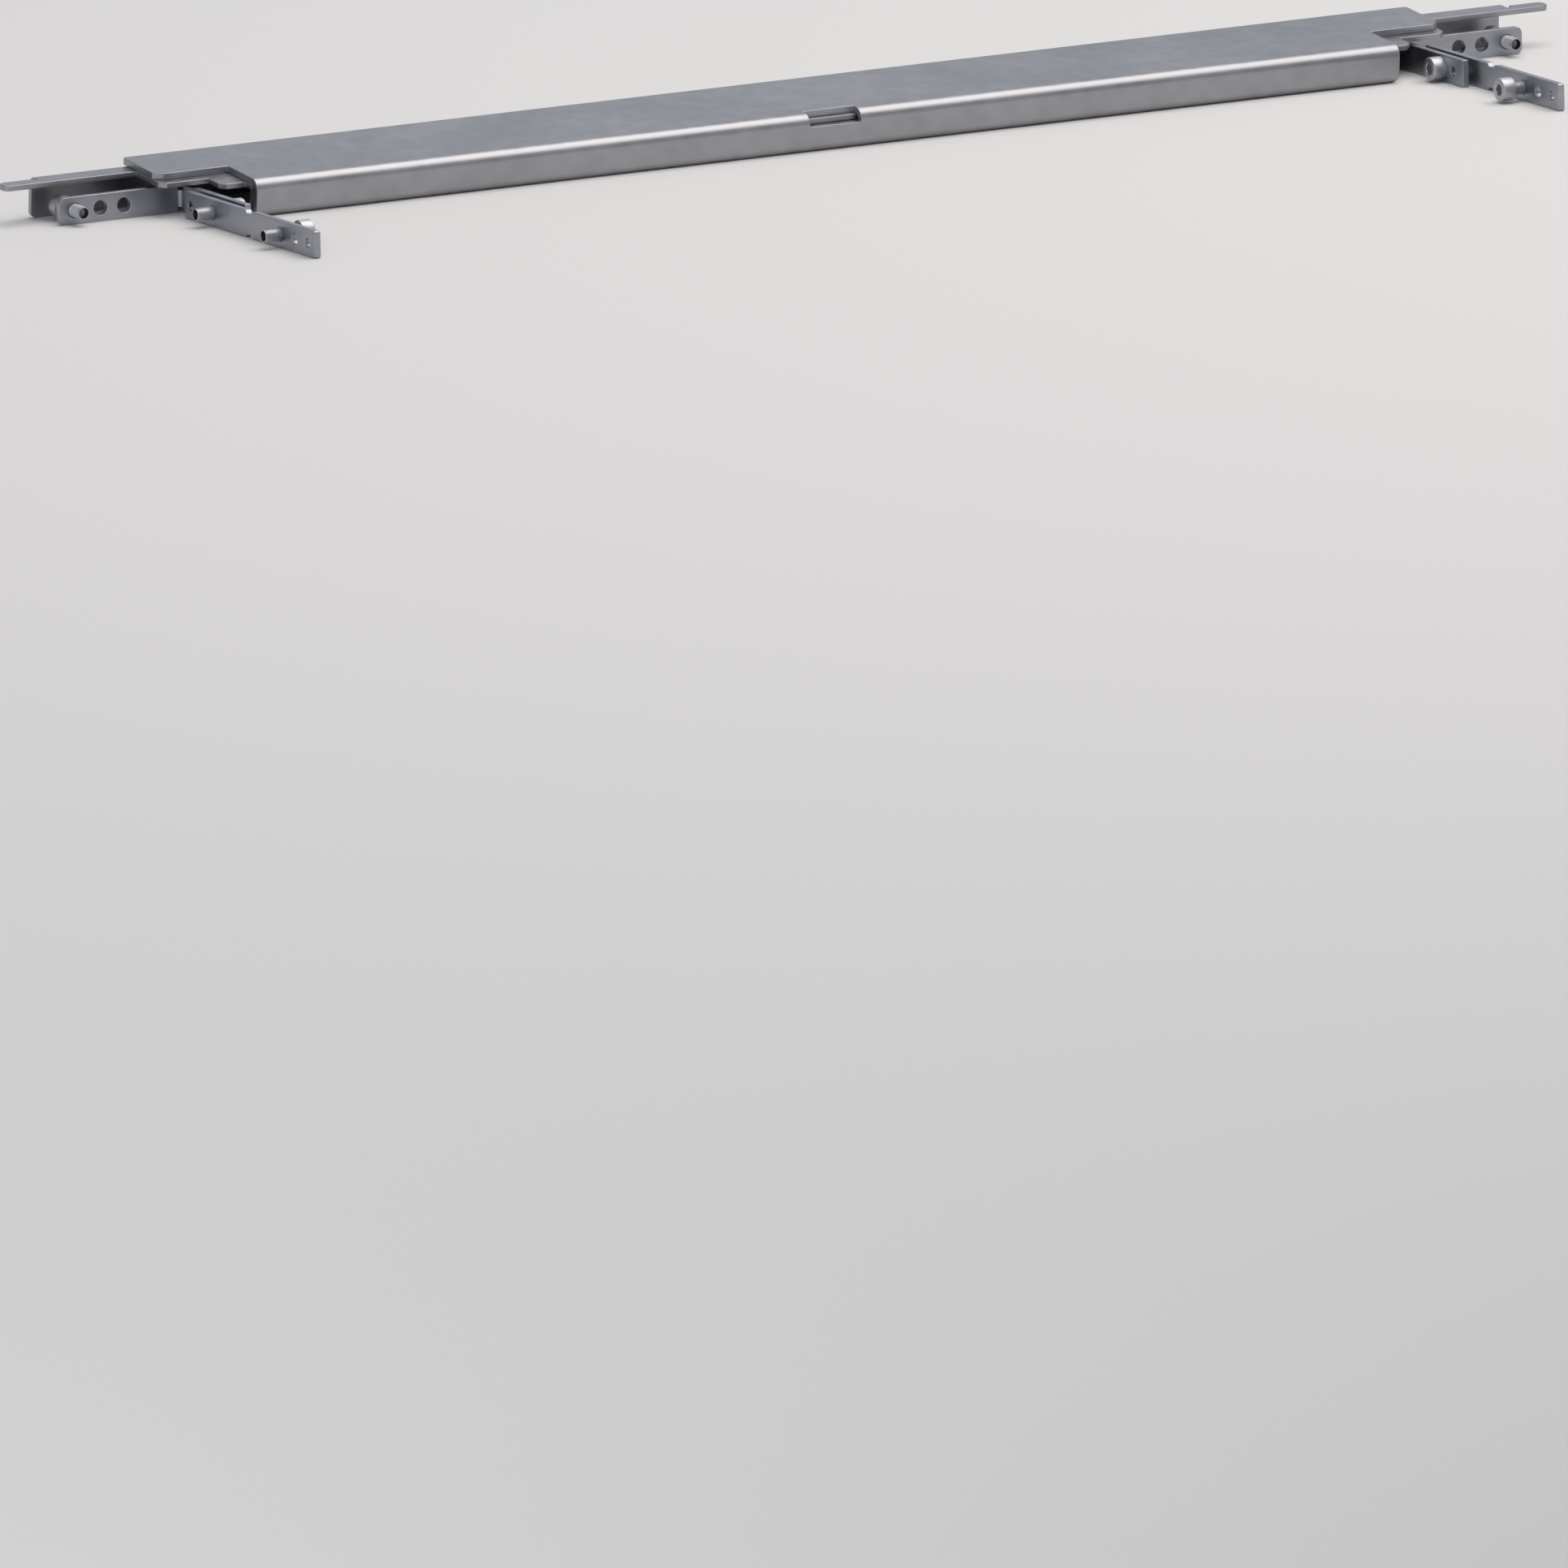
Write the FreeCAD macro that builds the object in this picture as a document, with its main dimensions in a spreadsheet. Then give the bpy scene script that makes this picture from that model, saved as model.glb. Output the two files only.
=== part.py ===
import FreeCAD, Part
import math
import os
import re
import Sketcher

# Cable trunking tee: a folded bridge over the mouth of a branch, and two corner brackets
# that clamp the branch's side walls. X runs along the bridge, Y away from the branch, Z up.
# Every piece stands on the floor at Z = 0.

# Driving sizes in millimetres
SIZES = {
    # Branch trunking, between the middles of its two side walls
    "trunking_width": 500.0,
    # Cover plate: flat top, front flange folded down, its lower edge hemmed back and up
    "cover_gauge": 2.5,
    "cover_overlap": 11.5,
    "cover_depth": 48.0,
    "cover_setback": 22.3,
    "cover_chamfer": 3.0,
    "cover_round": 1.5,
    "flange_clearance": 17.5,
    "flange_height": 14.0,
    "flange_bend": 1.5,
    "flange_round": 3.5,
    "notch_width": 20.6,
    "notch_shift": 1.8,
    "notch_depth": 6.1,
    "notch_drop": 4.5,
    # Hem: its lower bend, its rear bend, its slope in degrees from upright and the gap to the flange
    "lip_bend": 0.5,
    "hem_depth": 6.8,
    "hem_bend": 0.1,
    "hem_slope": 33.0,
    "hem_gap": 0.1,
    "hem_height": 9.3,
    # Support rail: flat leg under the cover, rear wall folded down, flat tips at both ends
    "rail_gauge": 2.0,
    "rail_clearance": 0.1,
    "rail_setback": 18.2,
    "rail_chamfer": 2.3,
    "shoulder_clearance": 7.5,
    "shoulder_front": 8.5,
    "rail_bend": 2.0,
    "wall_overlap": 49.0,
    "wall_drop": 4.0,
    "wall_round": 2.5,
    "tip_length": 15.5,
    "tip_front": 37.0,
    "tip_back": 42.7,
    "tip_round": 2.5,
    "relief_width": 2.0,
    # Corner angle: arm along the main run, leg along the branch wall
    "arm_gauge": 2.5,
    "arm_height": 10.0,
    "arm_length": 51.5,
    "leg_length": 51.0,
    "arm_back": 28.7,
    "arm_bend": 2.0,
    "arm_round": 2.5,
    "bend_notch_width": 3.6,
    "bend_notch_depth": 2.0,
    # Clamp strip beside the leg; the branch wall goes into the gap
    "wall_gap": 2.4,
    "strip_offset": 14.3,
    "strip_length": 98.5,
    "strip_round": 1.0,
    "strip_notch_at": 49.6,
    "strip_notch_width": 5.5,
    "strip_notch_depth": 1.2,
    # Holes, placed from the end of the arm, leg or strip
    "fixing_hole": 5.3,
    "fixing_outer_at": 16.6,
    "fixing_inner_at": 26.1,
    "wide_hole": 4.2,
    "wide_hole_at": 15.3,
    "narrow_hole": 3.3,
    "narrow_hole_at": 5.5,
    "pin_hole": 3.3,
    "strip_pin_at": 4.4,
    "leg_pin_at": 7.3,
    # Socket-head screws and their places
    "thread_diameter": 5.0,
    "thread_clearance": 0.1,
    "screw_length": 14.0,
    "screw_chamfer": 0.5,
    "head_diameter": 8.5,
    "head_height": 5.0,
    "socket_width": 4.0,
    "socket_depth": 2.5,
    "cup_diameter": 3.8,
    "cup_floor": 3.2,
    "cup_depth": 2.2,
    "cup_drill": 0.6,
    "arm_screw_at": 6.3,
    "clamp_screw_at": 34.9,
    "end_screw_at": 26.4,
}

# Lines that several pieces share, as formulas of the sizes
HALF_FLANGE = "(trunking_width / 2 - flange_clearance)"
HALF_SHOULDER = "(trunking_width / 2 - shoulder_clearance)"
HALF_COVER = "(trunking_width / 2 + cover_overlap)"
HALF_WALL = "(trunking_width / 2 + wall_overlap)"
HALF_RAIL = f"({HALF_WALL} + tip_length)"
FLANGE_OUTER = "(flange_bend + cover_gauge)"
LIP_OUTER = "(lip_bend + cover_gauge)"
HEM_OUTER = "(hem_bend + cover_gauge)"
HEM_REAR = f"(hem_depth - {HEM_OUTER})"
RAIL_TOP = "(flange_height - cover_gauge)"
RAIL_OUTER = "(rail_bend + rail_gauge)"
WALL_FACE = "(cover_depth - rail_gauge)"
LEG_FACE = "(trunking_width / 2 - wall_gap / 2 - arm_gauge)"
STRIP_FACE = "(trunking_width / 2 + wall_gap / 2)"
ARM_END = f"({LEG_FACE} + arm_length)"
ARM_OUTER = "(arm_bend + arm_gauge)"
LEG_END = "(arm_back - leg_length)"
STRIP_BACK = "(arm_back - strip_offset)"
STRIP_FRONT = f"({STRIP_BACK} - strip_length)"
MIDDLE = "arm_height / 2"
TAPPED = "thread_diameter + thread_clearance"
CLAMP_LINE = "(arm_back - clamp_screw_at)"
END_LINE = f"({STRIP_FRONT} + end_screw_at)"

# The bridge leans forward until its folded lower edge and its rear wall both meet the floor
LEAN_RUN = f"({WALL_FACE} - {LIP_OUTER})"
LEAN_RISE = f"(wall_drop + {LIP_OUTER})"
LEAN = f"(atan({LEAN_RISE} / {LEAN_RUN}) - asin({LIP_OUTER} / sqrt({LEAN_RISE}^2 + {LEAN_RUN}^2)))"
BRIDGE_LIFT = f"wall_drop * cos({LEAN}) - {WALL_FACE} * sin({LEAN})"
BRIDGE_BACK = f"(cover_depth * cos({LEAN}) + wall_drop * sin({LEAN}))"

# The origin is on the floor in the middle of the whole set
ORIGIN = f"(({STRIP_FRONT} + {BRIDGE_BACK}) / 2)"

# Turns in degrees, and the least volume in cubic millimetres that a cut has to take away
FULL_TURN = 360.0
HALF_TURN = 180.0
QUARTER_TURN = 90.0
LEAST_CUT = 1e-6

doc = FreeCAD.newDocument("cable_trunking_tee")
sheet = doc.addObject("Spreadsheet::Sheet", "sizes")
for row, (alias, size) in enumerate(SIZES.items(), start=1):
    sheet.set(f"A{row}", alias)
    sheet.set(f"B{row}", str(size))
    sheet.setAlias(f"B{row}", alias)
doc.recompute()


def cells(formula):
    """The formula with every size pointing at its cell."""
    return re.sub(r"[a-z]+(?:_[a-z]+)+", r"sizes.\g<0>", formula)


def new_sketch(body, name, role, offset=None):
    """A sketch on one of the body's own origin planes, moved along its normal by the offset."""
    sketch = body.newObject("Sketcher::SketchObject", name)
    plane = next(item for item in body.Origin.OriginFeatures if item.Role == role)
    sketch.AttachmentSupport = [(plane, "")]
    sketch.MapMode = "FlatFace"
    if offset is not None:
        sketch.setExpression("AttachmentOffset.Base.z", cells(offset))
    return sketch


def bind(sketch, kind, places, formula):
    """A dimension of the sketch, bound to its formula."""
    value = float(sketch.evalExpression(cells(formula)))
    index = sketch.addConstraint(Sketcher.Constraint(kind, *places, value))
    sketch.setExpression(f"Constraints[{index}]", cells(formula))


def arc_between(start, end, radius, turn):
    """A minor arc; turn is 1 to run counter-clockwise from start to end and -1 for clockwise."""
    chord = end - start
    rise = math.sqrt(max(radius**2 - (chord.Length / 2) ** 2, 0.0))
    side = FreeCAD.Vector(-chord.y, chord.x, 0).normalize() * turn
    centre = (start + end) / 2 + side * rise
    return Part.Arc(start, centre - side * radius, end)


def outline(sketch, corners, mirror=1):
    """A closed outline; a corner may add the radius and the turn of an arc that leaves it."""
    spots = [(f"{mirror} * ({corner[0]})", corner[1]) for corner in corners]
    points = [
        FreeCAD.Vector(float(sketch.evalExpression(cells(x))), float(sketch.evalExpression(cells(y))), 0)
        for x, y in spots
    ]
    segments = []
    for index, corner in enumerate(corners):
        start = points[index]
        end = points[(index + 1) % len(points)]
        if len(corner) == 2:
            geo = sketch.addGeometry(Part.LineSegment(start, end))
            segments.append((geo, 1, 2))
            continue
        radius = float(sketch.evalExpression(cells(corner[2])))
        geo = sketch.addGeometry(arc_between(start, end, radius, mirror * corner[3]))
        drawn_forward = (sketch.getPoint(geo, 1) - start).Length < (sketch.getPoint(geo, 1) - end).Length
        segments.append((geo, 1, 2) if drawn_forward else (geo, 2, 1))
    for (geo, _, last), (after, first, _) in zip(segments, segments[1:] + segments[:1]):
        sketch.addConstraint(Sketcher.Constraint("Coincident", geo, last, after, first))
    for (geo, first, _), (x, y), corner in zip(segments, spots, corners):
        bind(sketch, "DistanceX", (-1, 1, geo, first), x)
        bind(sketch, "DistanceY", (-1, 1, geo, first), y)
        if len(corner) > 2:
            bind(sketch, "Radius", (geo,), corner[2])


def holes(sketch, spots, mirror=1):
    """Circles at x, y with a diameter."""
    for x, y, diameter in spots:
        place = [float(sketch.evalExpression(cells(text))) for text in (f"{mirror} * ({x})", y, diameter)]
        circle = Part.Circle(FreeCAD.Vector(place[0], place[1], 0), FreeCAD.Vector(0, 0, 1), place[2] / 2)
        geo = sketch.addGeometry(circle)
        bind(sketch, "DistanceX", (-1, 1, geo, 3), f"{mirror} * ({x})")
        bind(sketch, "DistanceY", (-1, 1, geo, 3), y)
        bind(sketch, "Diameter", (geo,), diameter)


def pad(body, sketch, length, side="One side"):
    """Material added along the sketch's normal."""
    feature = body.newObject("PartDesign::Pad", f"{sketch.Name}_pad")
    feature.Profile = sketch
    feature.SideType = side
    feature.setExpression("Length", cells(length))
    doc.recompute()


def pocket(body, sketch, depth=None, reverse=False):
    """Material taken away to a depth, or right through on both sides of the sketch."""
    before = body.Shape.Volume
    feature = body.newObject("PartDesign::Pocket", f"{sketch.Name}_pocket")
    feature.Profile = sketch
    if depth is None:
        feature.Type = "ThroughAll"
        feature.SideType = "Symmetric"
    else:
        feature.Reversed = reverse
        feature.setExpression("Length", cells(depth))
    doc.recompute()
    if before - body.Shape.Volume < LEAST_CUT:
        raise RuntimeError(f"{feature.Name} cuts nothing")


def new_body(label):
    """An empty body under its own label."""
    body = doc.addObject("PartDesign::Body", label)
    body.Label = label
    return body


def both_ways(corners):
    """An outline that is the same on both sides of X = 0, from its right-hand half, front to back."""
    mirrored = []
    for index in range(len(corners) - 1, -1, -1):
        corner = corners[index]
        arc = corners[index - 1][2:] if index else ()
        mirrored.append((f"-1 * ({corner[0]})", corner[1], *arc))
    return corners + mirrored


def round_lower_corners(body, name, half_length, level, radius):
    """Rounds the two lower corners of an upright sheet that runs along X."""
    sketch = new_sketch(body, name, "XZ_Plane")
    for mirror in (1, -1):
        corners = [
            (half_length, level),
            (half_length, f"{level} + {radius}", radius, -1),
            (f"{half_length} - {radius}", level),
        ]
        outline(sketch, corners, mirror)
    pocket(body, sketch)


def lean_on_floor(body):
    """Stands a bridge piece on the floor, leaning on its folded lower edge."""
    body.Placement = FreeCAD.Placement(FreeCAD.Vector(), FreeCAD.Rotation(FreeCAD.Vector(1, 0, 0), 1))
    body.setExpression("Placement.Rotation.Angle", cells(LEAN))
    body.setExpression("Placement.Base.y", cells(f"-1 * {ORIGIN}"))
    body.setExpression("Placement.Base.z", cells(BRIDGE_LIFT))


def cover_plate():
    """Top sheet of the bridge: wide plate, front flange with a hemmed lower edge, notch in the bend."""
    body = new_body("cover_plate")
    plan = new_sketch(body, "cover_plan", "XY_Plane", RAIL_TOP)
    right = [
        (HALF_FLANGE, FLANGE_OUTER),
        (HALF_FLANGE, "cover_setback"),
        (f"{HALF_COVER} - cover_chamfer", "cover_setback"),
        (HALF_COVER, "cover_setback + cover_chamfer"),
        (HALF_COVER, "cover_depth - cover_round", "cover_round", 1),
        (f"{HALF_COVER} - cover_round", "cover_depth"),
    ]
    outline(plan, both_ways(right))
    pad(body, plan, "cover_gauge")

    def hem_side(radius, face):
        """Ends of the hem's slope: where it leaves the rear bend, and where it turns upright at a face."""
        leave_y = f"({HEM_REAR} + ({radius}) * cos(hem_slope))"
        leave_z = f"({HEM_OUTER} + ({radius}) * sin(hem_slope))"
        return (leave_y, leave_z), (face, f"{leave_z} + ({leave_y} - ({face})) / tan(hem_slope)")

    outer_low, outer_high = hem_side(HEM_OUTER, "2 * cover_gauge + hem_gap")
    inner_low, inner_high = hem_side("hem_bend", "cover_gauge + hem_gap")
    fold = new_sketch(body, "cover_fold", "YZ_Plane")
    outline(fold, [
        (FLANGE_OUTER, "flange_height", FLANGE_OUTER, 1),
        ("0", f"flange_height - {FLANGE_OUTER}"),
        ("0", LIP_OUTER, LIP_OUTER, 1),
        (LIP_OUTER, "0"),
        (HEM_REAR, "0", HEM_OUTER, 1),
        outer_low,
        outer_high,
        ("2 * cover_gauge + hem_gap", "hem_height"),
        ("cover_gauge + hem_gap", "hem_height"),
        inner_high,
        (*inner_low, "hem_bend", -1),
        (HEM_REAR, "cover_gauge"),
        (LIP_OUTER, "cover_gauge", "lip_bend", -1),
        ("cover_gauge", LIP_OUTER),
        ("cover_gauge", f"flange_height - {FLANGE_OUTER}", "flange_bend", -1),
        (FLANGE_OUTER, RAIL_TOP),
    ])
    pad(body, fold, f"2 * {HALF_FLANGE}", "Symmetric")

    notch = new_sketch(body, "cover_notch", "XY_Plane", "flange_height")
    outline(notch, [
        ("notch_shift - notch_width / 2", "-1 * cover_gauge"),
        ("notch_shift + notch_width / 2", "-1 * cover_gauge"),
        ("notch_shift + notch_width / 2", "notch_depth"),
        ("notch_shift - notch_width / 2", "notch_depth"),
    ])
    pocket(body, notch, "notch_drop")
    round_lower_corners(body, "flange_corners", HALF_FLANGE, "0", "flange_round")
    lean_on_floor(body)
    return body


def support_rail():
    """Lower sheet of the bridge: shouldered leg under the cover, rear wall, flat tips at the ends."""
    body = new_body("support_rail")
    plan = new_sketch(body, "rail_plan", "XY_Plane", f"{RAIL_TOP} - rail_gauge")
    right = [
        (HALF_FLANGE, f"{FLANGE_OUTER} + rail_clearance"),
        (HALF_FLANGE, "shoulder_front"),
        (f"{HALF_SHOULDER} - rail_chamfer", "shoulder_front"),
        (HALF_SHOULDER, "shoulder_front + rail_chamfer"),
        (HALF_SHOULDER, "rail_setback"),
        (f"{HALF_COVER} - rail_chamfer", "rail_setback"),
        (HALF_COVER, "rail_setback + rail_chamfer"),
        (HALF_COVER, "tip_front"),
        (f"{HALF_RAIL} - tip_round", "tip_front", "tip_round", 1),
        (HALF_RAIL, "tip_front + tip_round"),
        (HALF_RAIL, "tip_back - tip_round", "tip_round", 1),
        (f"{HALF_RAIL} - tip_round", "tip_back"),
        (f"{HALF_WALL} + relief_width", "tip_back"),
        (f"{HALF_WALL} + relief_width", "tip_back - relief_width"),
        (HALF_WALL, "tip_back - relief_width"),
        (HALF_WALL, f"cover_depth - {RAIL_OUTER}"),
    ]
    outline(plan, both_ways(right))
    pad(body, plan, "rail_gauge")

    fold = new_sketch(body, "rail_fold", "YZ_Plane")
    outline(fold, [
        (f"cover_depth - {RAIL_OUTER}", RAIL_TOP, RAIL_OUTER, -1),
        ("cover_depth", f"{RAIL_TOP} - {RAIL_OUTER}"),
        ("cover_depth", "-1 * wall_drop"),
        (WALL_FACE, "-1 * wall_drop"),
        (WALL_FACE, f"{RAIL_TOP} - {RAIL_OUTER}", "rail_bend", 1),
        (f"cover_depth - {RAIL_OUTER}", f"{RAIL_TOP} - rail_gauge"),
    ])
    pad(body, fold, f"2 * {HALF_WALL}", "Symmetric")
    round_lower_corners(body, "wall_corners", HALF_WALL, "-1 * wall_drop", "wall_round")
    lean_on_floor(body)
    return body


def corner_angle(side, mirror):
    """Bent angle of a bracket: arm along the main run, leg on the inner side of the branch wall."""
    body = new_body(f"corner_angle_{side}")
    plan = new_sketch(body, f"angle_plan_{side}", "XY_Plane")
    bend_x = f"{LEG_FACE} + {ARM_OUTER}"
    bend_y = f"arm_back - {ARM_OUTER}"
    outline(plan, [
        (LEG_FACE, LEG_END),
        (f"{LEG_FACE} + arm_gauge", LEG_END),
        (f"{LEG_FACE} + arm_gauge", bend_y, "arm_bend", -1),
        (bend_x, "arm_back - arm_gauge"),
        (ARM_END, "arm_back - arm_gauge"),
        (ARM_END, "arm_back"),
        (bend_x, "arm_back", ARM_OUTER, 1),
        (LEG_FACE, bend_y),
    ], mirror)
    pad(body, plan, "arm_height")

    # Relief notches over the middle of the bend, above and below
    reach = "(arm_bend + arm_gauge / 2) / sqrt(2)"
    for edge, level, upward in (("upper", "arm_height", False), ("lower", "0", True)):
        notch = new_sketch(body, f"bend_notch_{edge}_{side}", "XY_Plane", level)
        holes(notch, [(f"{bend_x} - {reach}", f"{bend_y} + {reach}", "bend_notch_width")], mirror)
        pocket(body, notch, "bend_notch_depth", upward)

    arm_face = new_sketch(body, f"arm_face_{side}", "XZ_Plane")
    holes(arm_face, [
        (f"{ARM_END} - arm_screw_at", MIDDLE, TAPPED),
        (f"{ARM_END} - fixing_outer_at", MIDDLE, "fixing_hole"),
        (f"{ARM_END} - fixing_inner_at", MIDDLE, "fixing_hole"),
    ], mirror)
    outline(arm_face, [
        (ARM_END, "0"),
        (ARM_END, "arm_round", "arm_round", -1),
        (f"{ARM_END} - arm_round", "0"),
    ], mirror)
    outline(arm_face, [
        (ARM_END, "arm_height"),
        (f"{ARM_END} - arm_round", "arm_height", "arm_round", -1),
        (ARM_END, "arm_height - arm_round"),
    ], mirror)
    pocket(body, arm_face)

    leg_face = new_sketch(body, f"leg_face_{side}", "YZ_Plane")
    holes(leg_face, [
        (CLAMP_LINE, MIDDLE, "fixing_hole"),
        (f"{LEG_END} + leg_pin_at", MIDDLE, "pin_hole"),
    ])
    pocket(body, leg_face)
    body.setExpression("Placement.Base.y", cells(f"-1 * {ORIGIN}"))
    return body


def clamp_strip(side, mirror):
    """Straight strip of a bracket, on the outer side of the branch wall, tapped for two screws."""
    body = new_body(f"clamp_strip_{side}")
    start = STRIP_FACE if mirror > 0 else f"-1 * ({STRIP_FACE} + arm_gauge)"
    face = new_sketch(body, f"strip_face_{side}", "YZ_Plane", start)
    notch_from = f"{STRIP_FRONT} + strip_notch_at - strip_notch_width / 2"
    notch_to = f"{STRIP_FRONT} + strip_notch_at + strip_notch_width / 2"
    upper = "arm_height"
    outline(face, [
        (f"{STRIP_FRONT} + strip_round", "0"),
        (notch_from, "0"),
        (f"{notch_from} + strip_notch_depth", "strip_notch_depth"),
        (f"{notch_to} - strip_notch_depth", "strip_notch_depth"),
        (notch_to, "0"),
        (f"{STRIP_BACK} - strip_round", "0", "strip_round", 1),
        (STRIP_BACK, "strip_round"),
        (STRIP_BACK, f"{upper} - strip_round", "strip_round", 1),
        (f"{STRIP_BACK} - strip_round", upper),
        (notch_to, upper),
        (f"{notch_to} - strip_notch_depth", f"{upper} - strip_notch_depth"),
        (f"{notch_from} + strip_notch_depth", f"{upper} - strip_notch_depth"),
        (notch_from, upper),
        (f"{STRIP_FRONT} + strip_round", upper, "strip_round", 1),
        (STRIP_FRONT, f"{upper} - strip_round"),
        (STRIP_FRONT, "strip_round", "strip_round", 1),
    ])
    holes(face, [
        (f"{STRIP_BACK} - strip_pin_at", MIDDLE, "pin_hole"),
        (CLAMP_LINE, MIDDLE, TAPPED),
        (END_LINE, MIDDLE, TAPPED),
        (f"{STRIP_FRONT} + wide_hole_at", MIDDLE, "wide_hole"),
        (f"{STRIP_FRONT} + narrow_hole_at", MIDDLE, "narrow_hole"),
    ])
    pad(body, face, "arm_gauge")
    body.setExpression("Placement.Base.y", cells(f"-1 * {ORIGIN}"))
    return body


def socket_screw(label, seat, turn):
    """Socket-head screw with a cupped point; seat is the place of its head's underside."""
    body = new_body(label)
    profile = new_sketch(body, f"{label}_profile", "XY_Plane")
    outline(profile, [
        ("-1 * head_height", "0"),
        ("screw_length - cup_depth - cup_drill", "0"),
        ("screw_length - cup_depth", "cup_floor / 2"),
        ("screw_length", "cup_diameter / 2"),
        ("screw_length", "thread_diameter / 2 - screw_chamfer"),
        ("screw_length - screw_chamfer", "thread_diameter / 2"),
        ("0", "thread_diameter / 2"),
        ("0", "head_diameter / 2"),
        ("screw_chamfer - head_height", "head_diameter / 2"),
        ("-1 * head_height", "head_diameter / 2 - screw_chamfer"),
    ])
    turned = body.newObject("PartDesign::Revolution", f"{label}_turned")
    turned.Profile = profile
    turned.ReferenceAxis = (profile, ["H_Axis"])
    turned.Angle = FULL_TURN
    doc.recompute()

    socket = new_sketch(body, f"{label}_socket", "YZ_Plane", "-1 * head_height")
    corner = "socket_width / sqrt(3)"
    flat = "socket_width / 2"
    outline(socket, [
        (corner, "0"),
        (f"{corner} / 2", flat),
        (f"-1 * {corner} / 2", flat),
        (f"-1 * {corner}", "0"),
        (f"-1 * {corner} / 2", f"-1 * {flat}"),
        (f"{corner} / 2", f"-1 * {flat}"),
    ])
    pocket(body, socket, "socket_depth", True)
    body.Placement = FreeCAD.Placement(FreeCAD.Vector(), FreeCAD.Rotation(FreeCAD.Vector(0, 0, 1), turn))
    body.setExpression("Placement.Base.x", cells(seat[0]))
    body.setExpression("Placement.Base.y", cells(f"{seat[1]} - {ORIGIN}"))
    body.setExpression("Placement.Base.z", cells(MIDDLE))
    return body


def bracket(side, mirror):
    """One corner bracket: angle, strip and three screws, their heads on the inner sides."""
    outward = 0.0 if mirror > 0 else HALF_TURN
    arm_seat = "(arm_back + wall_gap + arm_gauge)"
    leg_seat = f"{mirror} * {LEG_FACE}"
    arm_line = f"{mirror} * ({ARM_END} - arm_screw_at)"
    return [
        corner_angle(side, mirror),
        clamp_strip(side, mirror),
        socket_screw(f"arm_screw_{side}", (arm_line, arm_seat), -QUARTER_TURN),
        socket_screw(f"clamp_screw_{side}", (leg_seat, CLAMP_LINE), outward),
        socket_screw(f"end_screw_{side}", (leg_seat, END_LINE), outward),
    ]


pieces = [cover_plate(), support_rail(), *bracket("left", -1), *bracket("right", 1)]
doc.recompute()

# Every object has to be sound before anything is written
for item in doc.Objects:
    if "Invalid" in item.State or "Error" in item.State:
        raise RuntimeError(f"{item.Name} failed: {item.State}")
for piece in pieces:
    if piece.Shape.isNull() or not piece.Shape.isValid() or len(piece.Shape.Solids) != 1:
        raise RuntimeError(f"{piece.Label} is not one valid solid")

os.makedirs("parts", exist_ok=True)
for piece in pieces:
    piece.Shape.exportStep(f"parts/{piece.Label}.step")
    box = piece.Shape.BoundBox
    print(piece.Label, round(piece.Shape.Volume, 1), [round(v, 2) for v in (
        box.XMin, box.XMax, box.YMin, box.YMax, box.ZMin, box.ZMax)])
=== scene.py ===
import bmesh
import bpy
import math
from mathutils import Matrix, Vector


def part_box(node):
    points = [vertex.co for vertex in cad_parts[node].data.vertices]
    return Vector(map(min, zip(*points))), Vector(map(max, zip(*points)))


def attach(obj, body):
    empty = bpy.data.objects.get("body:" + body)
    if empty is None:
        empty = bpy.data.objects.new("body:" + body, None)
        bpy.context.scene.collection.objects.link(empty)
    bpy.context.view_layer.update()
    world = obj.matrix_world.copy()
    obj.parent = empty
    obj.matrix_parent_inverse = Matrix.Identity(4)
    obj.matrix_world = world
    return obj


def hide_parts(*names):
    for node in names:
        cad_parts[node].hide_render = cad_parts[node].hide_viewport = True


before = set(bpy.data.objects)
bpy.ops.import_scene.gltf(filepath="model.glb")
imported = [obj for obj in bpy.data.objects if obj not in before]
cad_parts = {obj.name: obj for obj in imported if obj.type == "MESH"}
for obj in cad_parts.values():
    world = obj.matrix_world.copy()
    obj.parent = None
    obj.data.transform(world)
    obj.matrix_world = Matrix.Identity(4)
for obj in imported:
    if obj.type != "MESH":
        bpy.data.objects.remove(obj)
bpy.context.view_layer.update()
bpy.ops.object.select_all(action="DESELECT")

MM = 0.001
QUARTER_TURN = math.pi / 2
DOUBLES = 0.002 * MM

# Lean of the bridge on its folded front edge, and where its own origin, the flange's foot, lies
LEAN = math.radians(5.2975)
BRIDGE_SHIFT = Vector((0.0, 17.968, -0.264)) * MM

# Socket-head screw along X, its middle at the origin and its head towards -X
AHEAD = 1.0
BEHIND = -1.0
FLAT_END = 0.99
SMOOTH_SCREW = math.radians(28.0)
HEAD_SIDES = 64
HEAD_RADIUS = 4.25 * MM
HEAD_TOP = -9.5 * MM
HEAD_ROUND = 0.5 * MM
SEAT = -4.5 * MM
SEAT_ROUND = 0.15 * MM
SOCKET_CORNER = 4.0 / math.sqrt(3.0) * MM
SOCKET_DEPTH = 2.5 * MM
SOCKET_DRILL = 0.7 * MM
SOCKET_ABOVE = 1.0 * MM
MOUTH_SIDES = 48
MOUTH_BOTTOM = 0.6 * SOCKET_CORNER
MOUTH_TOP = 1.6 * SOCKET_CORNER
MOUTH_LENGTH = 2.2 * MM
MOUTH_ABOVE = 0.2 * MM
TIP = 9.5 * MM
POINT_SIDES = 40
POINT_RADIUS = 2.25 * MM
POINT_LENGTH = 4.5 * MM
POINT_ROUND = 0.2 * MM
CUP_RADIUS = 1.6 * MM
CUP_DEPTH = 2.2 * MM
CUP_FLARE = 1.2
CUP_DRILL = 0.6 * MM
CUP_BEYOND = 1.0 * MM
THREAD_END = 8.9 * MM
THREAD_IN_HEAD = 0.5 * MM
THREAD_STEPS = 28
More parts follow.
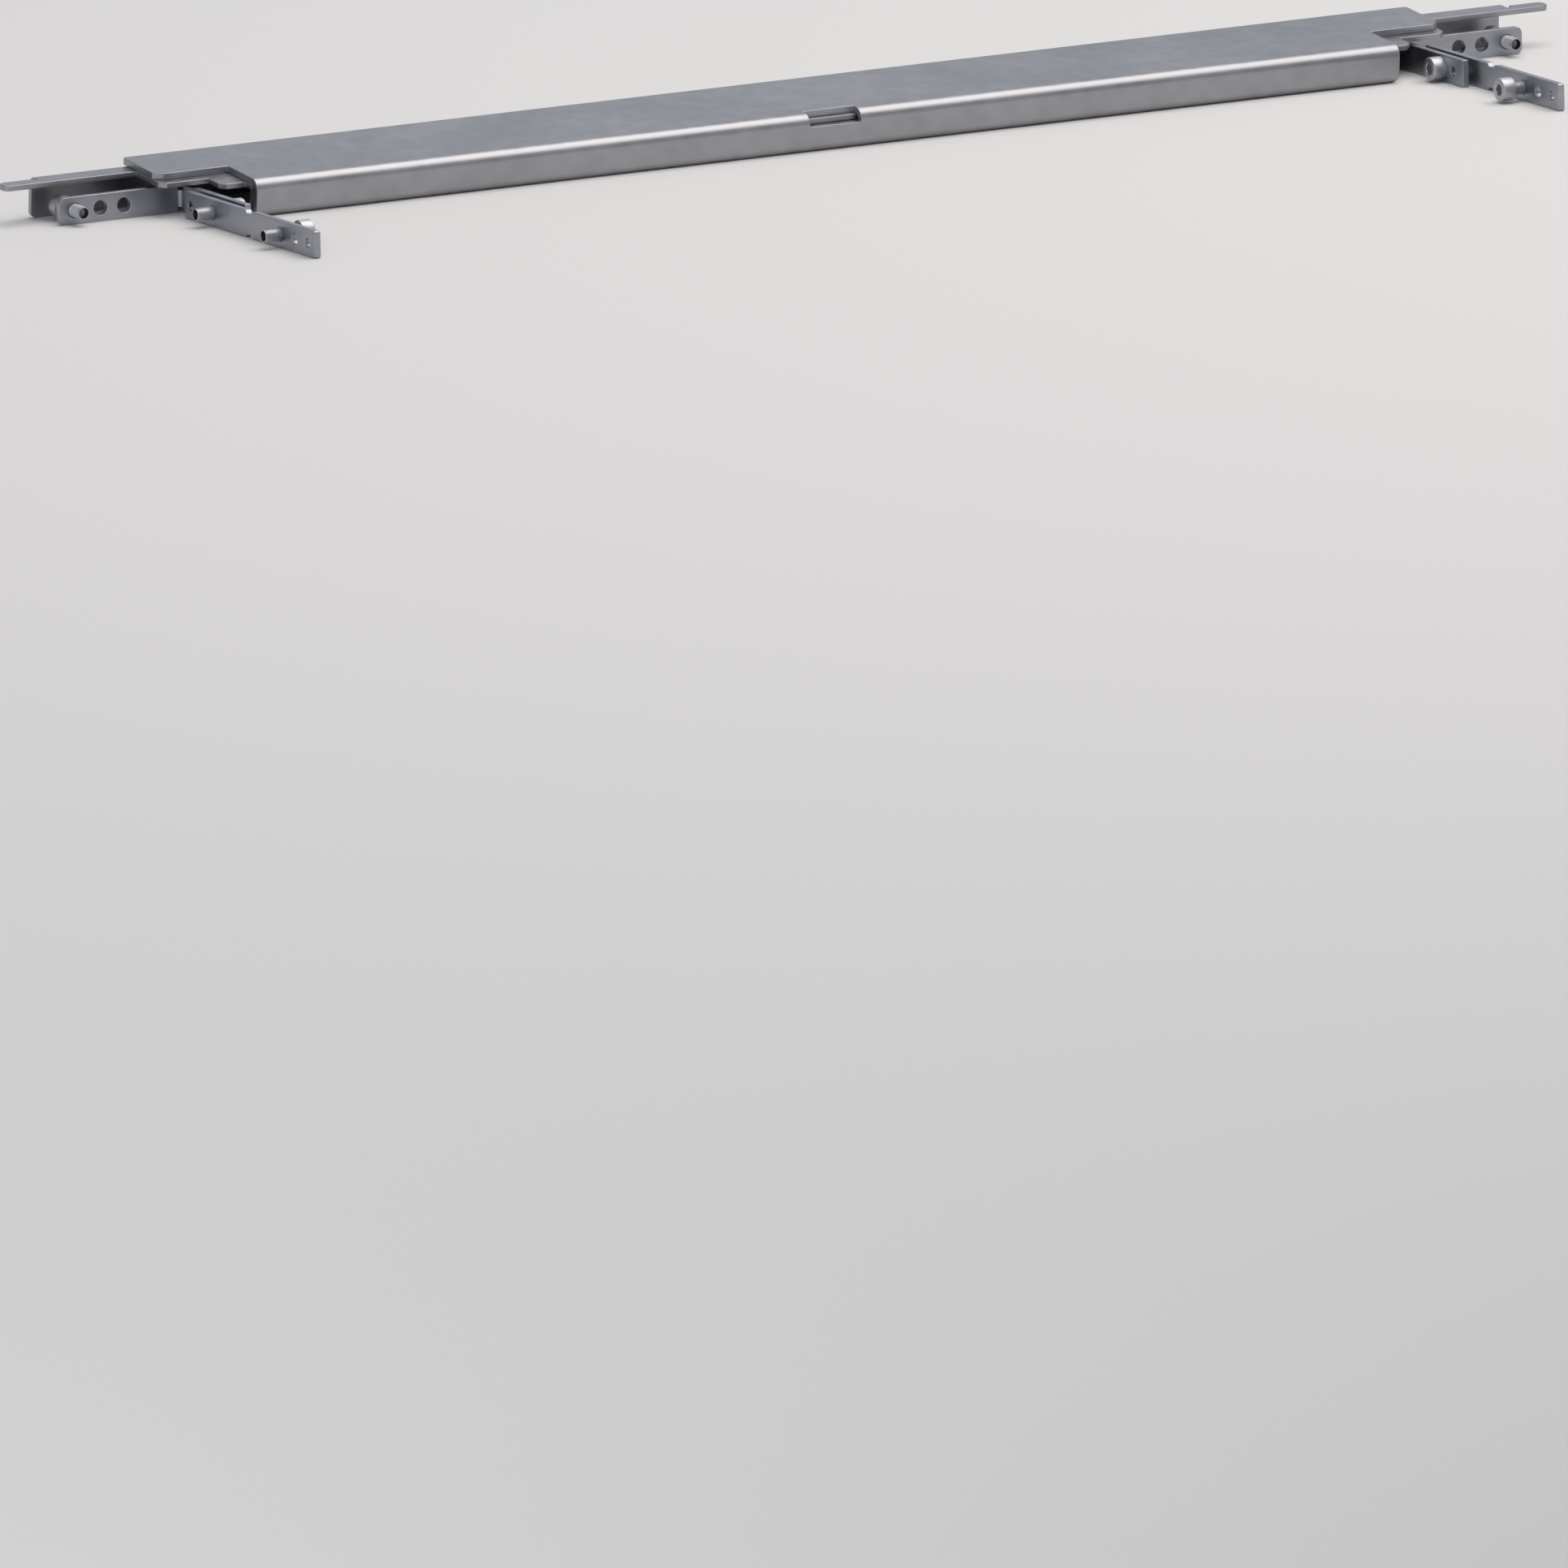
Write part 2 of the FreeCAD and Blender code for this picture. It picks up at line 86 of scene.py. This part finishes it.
THREAD_CUT = 0.0001 * MM
PITCH = 0.8 * MM
CREST_RADIUS = 2.48 * MM
ROOT_RADIUS = 2.06 * MM
# One turn of the thread: how far along it, in pitches, and the radius there
THREAD_OUTLINE = [
    (0.0, ROOT_RADIUS),
    (0.25, ROOT_RADIUS),
    (0.56, CREST_RADIUS),
    (0.69, CREST_RADIUS),
    (1.0, ROOT_RADIUS),
]
SCREW_TURNS = {
    "arm_screw_left": -QUARTER_TURN,
    "clamp_screw_left": math.pi,
    "end_screw_left": math.pi,
    "arm_screw_right": -QUARTER_TURN,
    "clamp_screw_right": 0.0,
    "end_screw_right": 0.0,
}

# Broken edges of the sheets and strips: widths, and the angles that tell edges and facets apart
SHEET_BREAK = 0.25 * MM
STRIP_BREAK = 0.3 * MM
BREAK_STEPS = 2
CUT_EDGE = math.radians(40.0)
SAME_FACE = math.radians(0.4)
WARPED_FACE = math.radians(3.0)
SMOOTH_SHEET = math.radians(50.0)
LARGE_FACES_LEAD = 100
SLIVER_SLACK = 0.0003 * MM
# The flange's rounded foot, where the hem begins behind the flange, and the hem's top
FOOT_TOP = 3.45 * MM
HEM_FRONT = 2.4 * MM
HEM_TOP = 9.4 * MM
# Where an angle's arm begins beside the bend, and its leg in front of it
ARM_START = 250.9 * MM
LEG_START = 42.1 * MM

FLOOR_SIZE = 40.0
# Name, place, width, power and colour of each lamp
LAMPS = [
    ("overhead_softbox", (0.7, -0.2, 2.2), 2.6, 53.0, "FFF8F2"),
    ("front_softbox", (-2.0, -2.0, 1.1), 1.8, 12.0, "FFFFFF"),
    ("back_panel", (1.6, 2.9, 1.2), 4.0, 12.0, "EAEFFF"),
]
SURROUND_COLOUR = "E6E9F0"
SURROUND_STRENGTH = 0.45

# The photograph's camera, measured in the bridge's own frame: no perspective shows in it
PHOTO_SIZE = 1932.0
PIXELS_PER_METRE = 3446.8
BRIDGE_PIXEL = (1023.6, 185.9)
AZIMUTH = math.radians(28.487)
ELEVATION = math.radians(13.166)
LENS_MM = 1400.0
SENSOR_MM = 36.0
NEAREST = 1.0
FARTHEST = 200.0


def to_linear(hex_colour):
    """An sRGB hex colour as linear red, green, blue and full alpha."""
    channels = []
    for start in (0, 2, 4):
        value = int(hex_colour[start:start + 2], 16) / 255
        channels.append(value / 12.92 if value <= 0.04045 else ((value + 0.055) / 1.055) ** 2.4)
    return (*channels, 1.0)


def add_node(tree, kind, settings=None, inputs=None):
    """Adds a node; an input is either a value for its socket or another node's output to link."""
    made = tree.nodes.new(kind)
    for name, value in (settings or {}).items():
        setattr(made, name, value)
    for name, value in (inputs or {}).items():
        if isinstance(value, bpy.types.NodeSocket):
            tree.links.new(value, made.inputs[name])
        else:
            made.inputs[name].default_value = value
    return made


def per_metre(size_mm):
    """Texture scale that makes one feature this many millimetres wide."""
    return 1000.0 / size_mm


def new_material(name):
    """A material with an empty node tree."""
    material = bpy.data.materials.new(name)
    material.use_nodes = True
    material.node_tree.nodes.clear()
    return material, material.node_tree


def galvanised_sheet():
    """Hot-dip galvanised, skin-passed sheet steel.

    It looks blue-grey and satin, with soft clouds, faint zinc grains and the streaks of rolling.
    The streaks are finer than can show, so they are drawn coarser.
    """
    material, tree = new_material("galvanised_sheet_steel_satin")
    place = add_node(tree, "ShaderNodeTexCoord")
    clouds = add_node(tree, "ShaderNodeTexNoise", None, {
        "Vector": place.outputs["Object"], "Scale": per_metre(45.0),
        "Detail": 3.0, "Roughness": 0.5})
    grains = add_node(tree, "ShaderNodeTexVoronoi", {"feature": "SMOOTH_F1"}, {
        "Vector": place.outputs["Object"], "Scale": per_metre(6.0),
        "Smoothness": 0.6, "Randomness": 1.0})
    # Sockets 0, 2 and 3 of this node are its factor and the two values that it mixes
    shade = add_node(tree, "ShaderNodeMix", {"data_type": "FLOAT"}, {
        0: 0.35, 2: clouds.outputs["Fac"], 3: grains.outputs["Distance"]})
    tint = add_node(tree, "ShaderNodeValToRGB", None, {"Fac": shade.outputs[0]})
    tint.color_ramp.elements[0].position = 0.25
    tint.color_ramp.elements[0].color = to_linear("9A9B9F")
    tint.color_ramp.elements[1].position = 0.75
    tint.color_ramp.elements[1].color = to_linear("ACADB1")
    gloss = add_node(tree, "ShaderNodeMapRange", None, {
        "Value": shade.outputs[0], "From Min": 0.2, "From Max": 0.8,
        "To Min": 0.34, "To Max": 0.46})
    rolled = add_node(tree, "ShaderNodeMapping", None, {
        "Vector": place.outputs["Object"], "Scale": (0.06, 1.0, 1.0)})
    streaks = add_node(tree, "ShaderNodeTexNoise", None, {
        "Vector": rolled.outputs["Vector"], "Scale": per_metre(1.2), "Detail": 2.0})
    bump = add_node(tree, "ShaderNodeBump", None, {
        "Height": streaks.outputs["Fac"], "Strength": 0.04, "Distance": 0.2 * MM})
    shader = add_node(tree, "ShaderNodeBsdfPrincipled", None, {
        "Base Color": tint.outputs["Color"], "Metallic": 1.0,
        "Roughness": gloss.outputs["Result"], "Normal": bump.outputs["Normal"]})
    add_node(tree, "ShaderNodeOutputMaterial", None, {"Surface": shader.outputs["BSDF"]})
    return material


def plated_steel(name, dark, light, grain_mm, roughness):
    """Zinc-plated steel, cool grey and satin, a little brighter or duller from place to place.

    The plating's grain is finer than can show, so it is drawn coarser.
    """
    material, tree = new_material(name)
    place = add_node(tree, "ShaderNodeTexCoord")
    cloud = add_node(tree, "ShaderNodeTexNoise", None, {
        "Vector": place.outputs["Object"], "Scale": per_metre(9.0),
        "Detail": 4.0, "Roughness": 0.55})
    tint = add_node(tree, "ShaderNodeValToRGB", None, {"Fac": cloud.outputs["Fac"]})
    tint.color_ramp.elements[0].position = 0.3
    tint.color_ramp.elements[0].color = to_linear(dark)
    tint.color_ramp.elements[1].position = 0.7
    tint.color_ramp.elements[1].color = to_linear(light)
    gloss = add_node(tree, "ShaderNodeMapRange", None, {
        "Value": cloud.outputs["Fac"], "From Min": 0.3, "From Max": 0.7,
        "To Min": roughness - 0.05, "To Max": roughness + 0.05})
    grain = add_node(tree, "ShaderNodeTexNoise", None, {
        "Vector": place.outputs["Object"], "Scale": per_metre(grain_mm), "Detail": 2.0})
    bump = add_node(tree, "ShaderNodeBump", None, {
        "Height": grain.outputs["Fac"], "Strength": 0.05, "Distance": 0.1 * MM})
    shader = add_node(tree, "ShaderNodeBsdfPrincipled", None, {
        "Base Color": tint.outputs["Color"], "Metallic": 1.0,
        "Roughness": gloss.outputs["Result"], "Normal": bump.outputs["Normal"]})
    add_node(tree, "ShaderNodeOutputMaterial", None, {"Surface": shader.outputs["BSDF"]})
    return material


def pale_floor():
    """Matt pale studio floor, even and without shine."""
    material, tree = new_material("matt_studio_floor")
    shader = add_node(tree, "ShaderNodeBsdfPrincipled", None, {
        "Base Color": to_linear("D8D8D8"), "Roughness": 0.9, "Specular IOR Level": 0.1})
    add_node(tree, "ShaderNodeOutputMaterial", None, {"Surface": shader.outputs["BSDF"]})
    return material


SHEET = galvanised_sheet()
STRIP = plated_steel("zinc_plated_strip_steel_satin", "9B9EA5", "ADB0B7", 0.8, 0.40)
SCREW = plated_steel("zinc_plated_screw_steel_satin", "AEB0B5", "C0C2C7", 0.5, 0.47)
# The hollow of each screw's point gets a darker steel than the rest: painted shade for the shadow
# in the hollow
CUP_PAINTED_SHADE = plated_steel("screw_cup_painted_shade_steel", "6E6F73", "808186", 0.3, 0.36)


def select_only(chosen):
    """Leaves nothing selected but this object and makes it the active one."""
    bpy.ops.object.select_all(action="DESELECT")
    chosen.select_set(True)
    bpy.context.view_layer.objects.active = chosen


def pick_end(piece, way):
    """In edit mode, selects the flat end of a screw's piece that looks ahead or behind."""
    bpy.ops.mesh.select_mode(type="FACE")
    bpy.ops.mesh.select_all(action="DESELECT")
    cage = bmesh.from_edit_mesh(piece.data)
    for face in cage.faces:
        face.select_set(way * face.normal.x > FLAT_END)
    bmesh.update_edit_mesh(piece.data)


def round_rim(piece, way, width, segments):
    """Rounds the edge all round one end of a screw's piece."""
    pick_end(piece, way)
    bpy.ops.mesh.region_to_loop()
    bpy.ops.mesh.bevel(offset=width, segments=segments, affect="EDGES")


def extrude_end(piece, way, length):
    """Draws one end of a screw's piece out by a length, and leaves the new end selected."""
    pick_end(piece, way)
    bpy.ops.mesh.extrude_region_move(
        TRANSFORM_OT_translate={"value": (way * length, 0.0, 0.0)})


def bar_along_x(name, sides, radius, start, end):
    """A round or many-sided bar on the X axis, left in edit mode for shaping."""
    bpy.ops.object.select_all(action="DESELECT")
    bpy.ops.mesh.primitive_cylinder_add(
        vertices=sides, radius=radius, depth=end - start,
        location=((start + end) / 2, 0.0, 0.0), rotation=(0.0, QUARTER_TURN, 0.0))
    piece = bpy.context.object
    piece.name = name
    bpy.ops.object.transform_apply(location=True, rotation=True, scale=True)
    bpy.ops.object.mode_set(mode="EDIT")
    return piece


def combine(piece, other, operation):
    """Joins the other piece to this one, or cuts it out, and takes the other away."""
    select_only(piece)
    change = piece.modifiers.new(operation.lower(), "BOOLEAN")
    change.operation = operation
    change.object = other
    change.solver = "EXACT"
    change.material_mode = "TRANSFER"
    bpy.ops.object.modifier_apply(modifier=change.name)
    select_only(other)
    bpy.ops.object.delete()


def screw_head():
    """Cylinder head with a rounded top edge and a chamfered, drilled hexagon socket."""
    head = bar_along_x("screw_head", HEAD_SIDES, HEAD_RADIUS, HEAD_TOP, SEAT)
    round_rim(head, BEHIND, HEAD_ROUND, 4)
    round_rim(head, AHEAD, SEAT_ROUND, 2)
    bpy.ops.object.mode_set(mode="OBJECT")

    socket = bar_along_x(
        "screw_socket", 6, SOCKET_CORNER, HEAD_TOP - SOCKET_ABOVE, HEAD_TOP + SOCKET_DEPTH)
    extrude_end(socket, AHEAD, SOCKET_DRILL)
    bpy.ops.mesh.merge(type="CENTER")
    bpy.ops.object.mode_set(mode="OBJECT")
    combine(head, socket, "DIFFERENCE")

    bpy.ops.mesh.primitive_cone_add(
        vertices=MOUTH_SIDES, radius1=MOUTH_BOTTOM, radius2=MOUTH_TOP, depth=MOUTH_LENGTH,
        location=(HEAD_TOP - MOUTH_ABOVE, 0.0, 0.0), rotation=(0.0, -QUARTER_TURN, 0.0))
    mouth = bpy.context.object
    bpy.ops.object.transform_apply(location=True, rotation=True, scale=True)
    combine(head, mouth, "DIFFERENCE")
    return head


def screw_thread():
    """Helical metric thread, closed by a flat cut at both ends."""
    bpy.ops.object.select_all(action="DESELECT")
    bpy.ops.mesh.primitive_plane_add(size=MM)
    thread = bpy.context.object
    thread.name = "screw_thread"
    bpy.ops.object.mode_set(mode="EDIT")
    bpy.ops.mesh.select_all(action="SELECT")
    bpy.ops.mesh.merge(type="CENTER")
    start = SEAT - 2 * PITCH
    bpy.ops.transform.translate(value=(start, THREAD_OUTLINE[0][1], 0.0))
    for (along, radius), (next_along, next_radius) in zip(THREAD_OUTLINE, THREAD_OUTLINE[1:]):
        step = ((next_along - along) * PITCH, next_radius - radius, 0.0)
        bpy.ops.mesh.extrude_vertices_move(TRANSFORM_OT_translate={"value": step})
    bpy.ops.object.mode_set(mode="OBJECT")
    winding = thread.modifiers.new("winding", "SCREW")
    winding.axis = "X"
    winding.screw_offset = PITCH
    winding.iterations = int((THREAD_END - start) / PITCH) + 2
    winding.steps = THREAD_STEPS
    winding.render_steps = THREAD_STEPS
    bpy.ops.object.modifier_apply(modifier=winding.name)
    bpy.ops.object.mode_set(mode="EDIT")
    bpy.ops.mesh.select_all(action="SELECT")
    bpy.ops.mesh.remove_doubles(threshold=DOUBLES)
    for cut, way in ((SEAT - THREAD_IN_HEAD, BEHIND), (THREAD_END, AHEAD)):
        bpy.ops.mesh.select_all(action="SELECT")
        bpy.ops.mesh.bisect(
            plane_co=(cut, 0.0, 0.0), plane_no=(way, 0.0, 0.0), use_fill=True,
            clear_outer=True, threshold=THREAD_CUT)
    bpy.ops.mesh.select_all(action="SELECT")
    bpy.ops.mesh.normals_make_consistent(inside=False)
    bpy.ops.object.mode_set(mode="OBJECT")
    return thread


def screw_point():
    """Plain end of the shank with a rounded edge."""
    point = bar_along_x(
        "screw_point", POINT_SIDES, POINT_RADIUS, THREAD_END - POINT_LENGTH, TIP)
    round_rim(point, AHEAD, POINT_ROUND, 3)
    bpy.ops.object.mode_set(mode="OBJECT")
    return point


def screw_cup():
    """Tapered drill that hollows the point."""
    cup = bar_along_x("screw_cup", POINT_SIDES, CUP_RADIUS, TIP - CUP_DEPTH, TIP)
    pick_end(cup, AHEAD)
    bpy.ops.transform.resize(value=(1.0, CUP_FLARE, CUP_FLARE))
    extrude_end(cup, AHEAD, CUP_BEYOND)
    extrude_end(cup, BEHIND, CUP_DRILL)
    bpy.ops.mesh.merge(type="CENTER")
    bpy.ops.object.mode_set(mode="OBJECT")
    return cup


def screw_model():
    """One socket-head screw with a hollow point, modelled at the origin."""
    model = screw_thread()
    model.data.materials.append(SCREW)
    combine(model, screw_point(), "UNION")
    combine(model, screw_head(), "UNION")
    cup = screw_cup()
    # The hollow takes the darker steel: painted shade
    cup.data.materials.append(CUP_PAINTED_SHADE)
    combine(model, cup, "DIFFERENCE")
    select_only(model)
    bpy.ops.object.mode_set(mode="EDIT")
    bpy.ops.mesh.select_all(action="SELECT")
    bpy.ops.mesh.remove_doubles(threshold=DOUBLES)
    bpy.ops.mesh.normals_make_consistent(inside=False)
    bpy.ops.object.mode_set(mode="OBJECT")
    bpy.ops.object.shade_smooth_by_angle(angle=SMOOTH_SCREW)
    return model


def socket_screws():
    """A copy of the modelled screw in every screw's place."""
    model = screw_model()
    for name, turn in SCREW_TURNS.items():
        select_only(model)
        bpy.ops.object.duplicate()
        copy = bpy.context.object
        copy.name = f"{name}_threaded"
        low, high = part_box(name)
        copy.location = (Vector(low) + Vector(high)) / 2
        copy.rotation_euler = (0.0, 0.0, turn)
        bpy.ops.object.transform_apply(location=True, rotation=True, scale=True)
        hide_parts(name)
        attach(copy, "root")
    select_only(model)
    bpy.ops.object.delete()


def in_hem(point):
    """Whether a point of the cover is on the flange's rounded foot or in the hem behind it."""
    in_bridge = Matrix.Rotation(-LEAN, 3, "X") @ (point - BRIDGE_SHIFT)
    return in_bridge.z < FOOT_TOP or (in_bridge.y > HEM_FRONT and in_bridge.z < HEM_TOP)


def in_bend(point):
    """Whether a point of an angle lies in its bend, where the notches leave little metal."""
    return abs(point.x) < ARM_START and point.y > LEG_START


def nowhere(point):
    """The test for a piece that has all its cut edges broken."""
    return False


def close_slivers(piece):
    """In edit mode, joins each face without area to its neighbour across its longest edge."""
    bpy.ops.mesh.select_mode(type="EDGE")
    bpy.ops.mesh.select_all(action="DESELECT")
    cage = bmesh.from_edit_mesh(piece.data)
    for face in cage.faces:
        longest = max(face.edges, key=bmesh.types.BMEdge.calc_length)
        around = sum(edge.calc_length() for edge in face.edges)
        if around - 2 * longest.calc_length() < SLIVER_SLACK:
            longest.select_set(True)
    bmesh.update_edit_mesh(piece.data)
    bpy.ops.mesh.dissolve_edges(use_verts=False)


def pick_cut_edges(piece, spared):
    """In edit mode, selects the sharp edges, apart from those whose middle is spared."""
    bpy.ops.mesh.select_mode(type="EDGE")
    bpy.ops.mesh.select_all(action="DESELECT")
    bpy.ops.mesh.edges_select_sharp(sharpness=CUT_EDGE)
    cage = bmesh.from_edit_mesh(piece.data)
    for edge in cage.edges:
        if edge.select and spared((edge.verts[0].co + edge.verts[1].co) / 2):
            edge.select_set(False)
    bmesh.update_edit_mesh(piece.data)


def deburred(name, material, width, spared=nowhere):
    """The piece with its cut edges broken, spared ones aside, in place of the sharp solid."""
    select_only(bpy.data.objects[name])
    bpy.ops.object.duplicate()
    piece = bpy.context.object
    piece.name = f"{name}_deburred"
    bpy.ops.object.mode_set(mode="EDIT")
    bpy.ops.mesh.select_all(action="SELECT")
    bpy.ops.mesh.remove_doubles(threshold=DOUBLES)
    close_slivers(piece)
    bpy.ops.mesh.select_all(action="SELECT")
    bpy.ops.mesh.dissolve_limited(angle_limit=SAME_FACE)
    pick_cut_edges(piece, spared)
    bpy.ops.mesh.bevel(
        offset=width, segments=BREAK_STEPS, affect="EDGES", clamp_overlap=False,
        loop_slide=False)
    bpy.ops.mesh.select_all(action="SELECT")
    bpy.ops.mesh.vert_connect_nonplanar(angle_limit=WARPED_FACE)
    close_slivers(piece)
    bpy.ops.object.mode_set(mode="OBJECT")
    bpy.ops.object.shade_smooth_by_angle(angle=SMOOTH_SHEET, keep_sharp_edges=False)
    even = piece.modifiers.new("even_faces", "WEIGHTED_NORMAL")
    even.weight = LARGE_FACES_LEAD
    even.keep_sharp = True
    bpy.ops.object.modifier_apply(modifier=even.name)
    piece.data.materials.clear()
    piece.data.materials.append(material)
    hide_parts(name)
    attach(piece, "root")


def studio():
    """Floor, soft lamps and an even pale surround."""
    bpy.ops.mesh.primitive_plane_add(size=FLOOR_SIZE, location=(0.0, 0.0, 0.0))
    floor = bpy.context.object
    floor.name = "studio_floor"
    floor.data.materials.append(pale_floor())
    for name, spot, size, power, colour in LAMPS:
        aim = (-Vector(spot)).to_track_quat("-Z", "Y").to_euler()
        bpy.ops.object.light_add(type="AREA", location=spot, rotation=aim)
        lamp = bpy.context.object
        lamp.name = name
        lamp.data.shape = "SQUARE"
        lamp.data.size = size
        lamp.data.energy = power
        lamp.data.color = to_linear(colour)[:3]
    world = bpy.data.worlds.new("pale_surround")
    bpy.context.scene.world = world
    world.use_nodes = True
    surround = world.node_tree.nodes["Background"]
    surround.inputs["Color"].default_value = to_linear(SURROUND_COLOUR)
    surround.inputs["Strength"].default_value = SURROUND_STRENGTH


def photo_camera():
    """A very long lens at the photograph's angle to the bridge, less half of the bridge's lean."""
    right = Vector((math.cos(AZIMUTH), -math.sin(AZIMUTH), 0.0))
    ahead = Vector((
        math.sin(AZIMUTH) * math.cos(ELEVATION),
        math.cos(AZIMUTH) * math.cos(ELEVATION),
        -math.sin(ELEVATION)))
    upward = right.cross(ahead)
    across = (PHOTO_SIZE / 2 - BRIDGE_PIXEL[0]) / PIXELS_PER_METRE
    down = (PHOTO_SIZE / 2 - BRIDGE_PIXEL[1]) / PIXELS_PER_METRE
    reach = PHOTO_SIZE / PIXELS_PER_METRE * LENS_MM / SENSOR_MM
    in_bridge = Matrix((right, upward, -ahead)).transposed().to_4x4()
    in_bridge.translation = right * across - upward * down - ahead * reach
    half_lean = Matrix.Rotation(LEAN / 2, 4, "X")
    in_room = Matrix.Translation(BRIDGE_SHIFT) @ half_lean @ in_bridge
    bpy.ops.object.camera_add(location=in_room.to_translation(), rotation=in_room.to_euler())
    camera = bpy.context.object
    camera.name = "photo_camera"
    camera.data.sensor_width = SENSOR_MM
    camera.data.lens = LENS_MM
    camera.data.clip_start = NEAREST
    camera.data.clip_end = FARTHEST
    bpy.context.scene.camera = camera


socket_screws()
deburred("cover_plate", SHEET, SHEET_BREAK, in_hem)
deburred("support_rail", SHEET, SHEET_BREAK)
for side in ("left", "right"):
    deburred(f"corner_angle_{side}", STRIP, STRIP_BREAK, in_bend)
    deburred(f"clamp_strip_{side}", STRIP, STRIP_BREAK)
studio()
photo_camera()
bpy.context.scene.view_settings.view_transform = "Standard"
